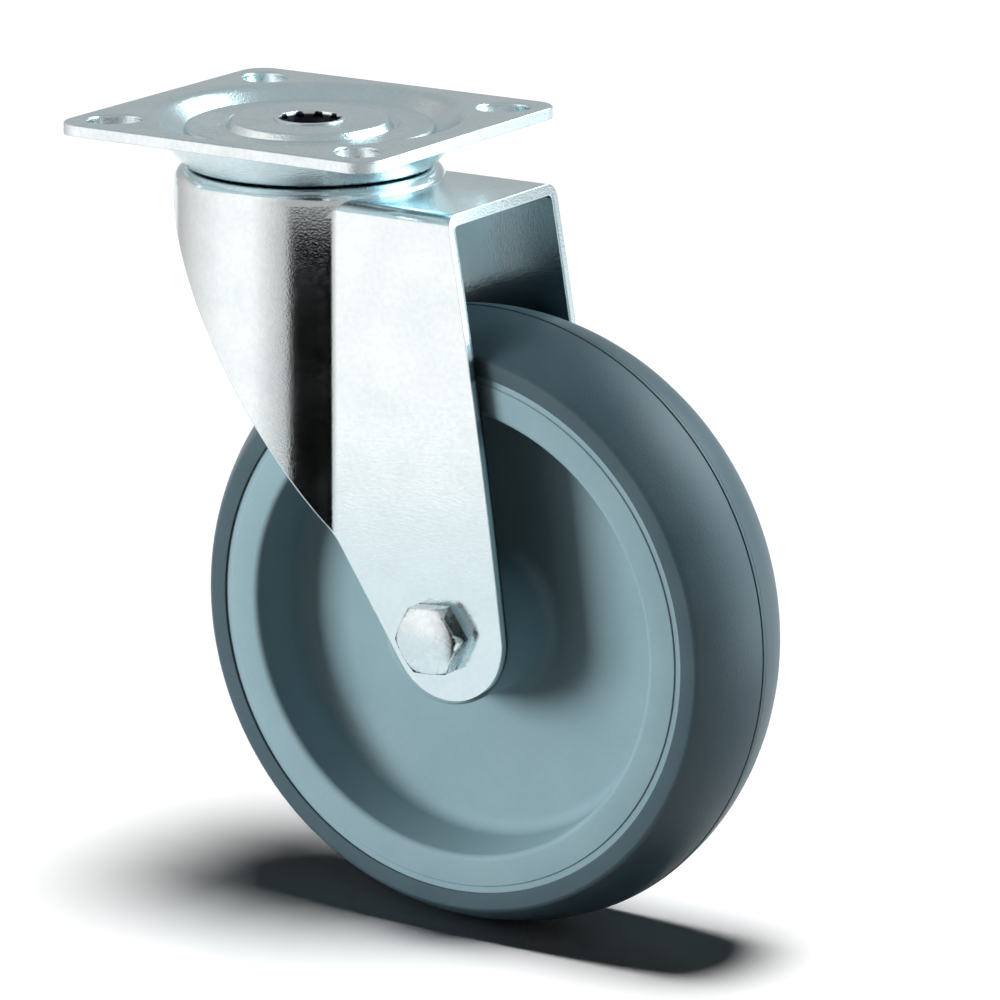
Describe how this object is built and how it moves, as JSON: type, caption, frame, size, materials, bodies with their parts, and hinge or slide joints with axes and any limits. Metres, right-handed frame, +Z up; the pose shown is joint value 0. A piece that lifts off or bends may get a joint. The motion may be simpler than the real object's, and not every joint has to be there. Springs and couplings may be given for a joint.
{
  "type": "swivel castor",
  "caption": "Plate-mounted swivel castor with a bent steel fork, a double ball swivel head and a rubber-tyred wheel on ball bearings.",
  "frame": {"origin": "centre of the top plate's upper face, on the swivel axis", "axes": "+Z up out of the plate, along the swivel axis; +X towards the trailing wheel; Y along the wheel's axle, the bolt's head at -Y"},
  "size_m": [0.1421, 0.0702, 0.1585],
  "materials": {
    "zinc_plate": "bright zinc plating with a fine orange-peel texture",
    "bolt_steel": "bright zinc-plated fastener",
    "bearing_steel": "ground and polished",
    "rim_plastic": "moulded grey, satin",
    "tyre_rubber": "smooth grey rubber, soft sheen",
    "insert_plastic": "pale moulded plastic"
  },
  "bodies": {
    "mounting": {"top_plate": "zinc_plate", "kingpin": "zinc_plate", "spacer_sleeve": "zinc_plate", "lower_race_cup": "zinc_plate"},
    "upper_ball_row": {"upper_balls": "bearing_steel"},
    "lower_ball_row": {"lower_balls": "bearing_steel"},
    "fork": {"fork": "zinc_plate", "axle_bolt": "bolt_steel", "axle_nut": "bolt_steel", "nut_insert": "insert_plastic", "axle_tube": "bolt_steel", "bearing_spacer": "bolt_steel", "left_collar": "bolt_steel", "right_collar": "bolt_steel", "left_inner_ring": "bearing_steel", "right_inner_ring": "bearing_steel"},
    "wheel": {"wheel_core": "rim_plastic", "tyre": "tyre_rubber", "left_outer_ring": "bearing_steel", "right_outer_ring": "bearing_steel", "left_shields": "bolt_steel", "right_shields": "bolt_steel"},
    "left_bearing_set": {"left_bearing_balls": "bearing_steel", "left_ball_cage": "bolt_steel"},
    "right_bearing_set": {"right_bearing_balls": "bearing_steel", "right_ball_cage": "bolt_steel"}
  },
  "joints": [
    {"name": "swivel", "type": "hinge", "parent": "mounting", "child": "fork", "pos_m": [0, 0, -0.01], "axis": [0, 0, 1], "continuous": true},
    {"name": "upper_ball_roll", "type": "hinge", "parent": "mounting", "child": "upper_ball_row", "pos_m": [0, 0, -0.01], "axis": [0, 0, 1], "continuous": true},
    {"name": "lower_ball_roll", "type": "hinge", "parent": "mounting", "child": "lower_ball_row", "pos_m": [0, 0, -0.01], "axis": [0, 0, 1], "continuous": true},
    {"name": "wheel_spin", "type": "hinge", "parent": "fork", "child": "wheel", "pos_m": [0.0425, 0, -0.096], "axis": [0, 1, 0], "continuous": true},
    {"name": "left_bearing_roll", "type": "hinge", "parent": "fork", "child": "left_bearing_set", "pos_m": [0.0425, 0, -0.096], "axis": [0, 1, 0], "continuous": true},
    {"name": "right_bearing_roll", "type": "hinge", "parent": "fork", "child": "right_bearing_set", "pos_m": [0.0425, 0, -0.096], "axis": [0, 1, 0], "continuous": true}
  ],
  "couplings": [
    {"joint": "upper_ball_roll", "follows": "swivel", "ratio": 0.5},
    {"joint": "lower_ball_roll", "follows": "swivel", "ratio": 0.5},
    {"joint": "left_bearing_roll", "follows": "wheel_spin", "ratio": 0.5882},
    {"joint": "right_bearing_roll", "follows": "wheel_spin", "ratio": 0.5882}
  ]
}
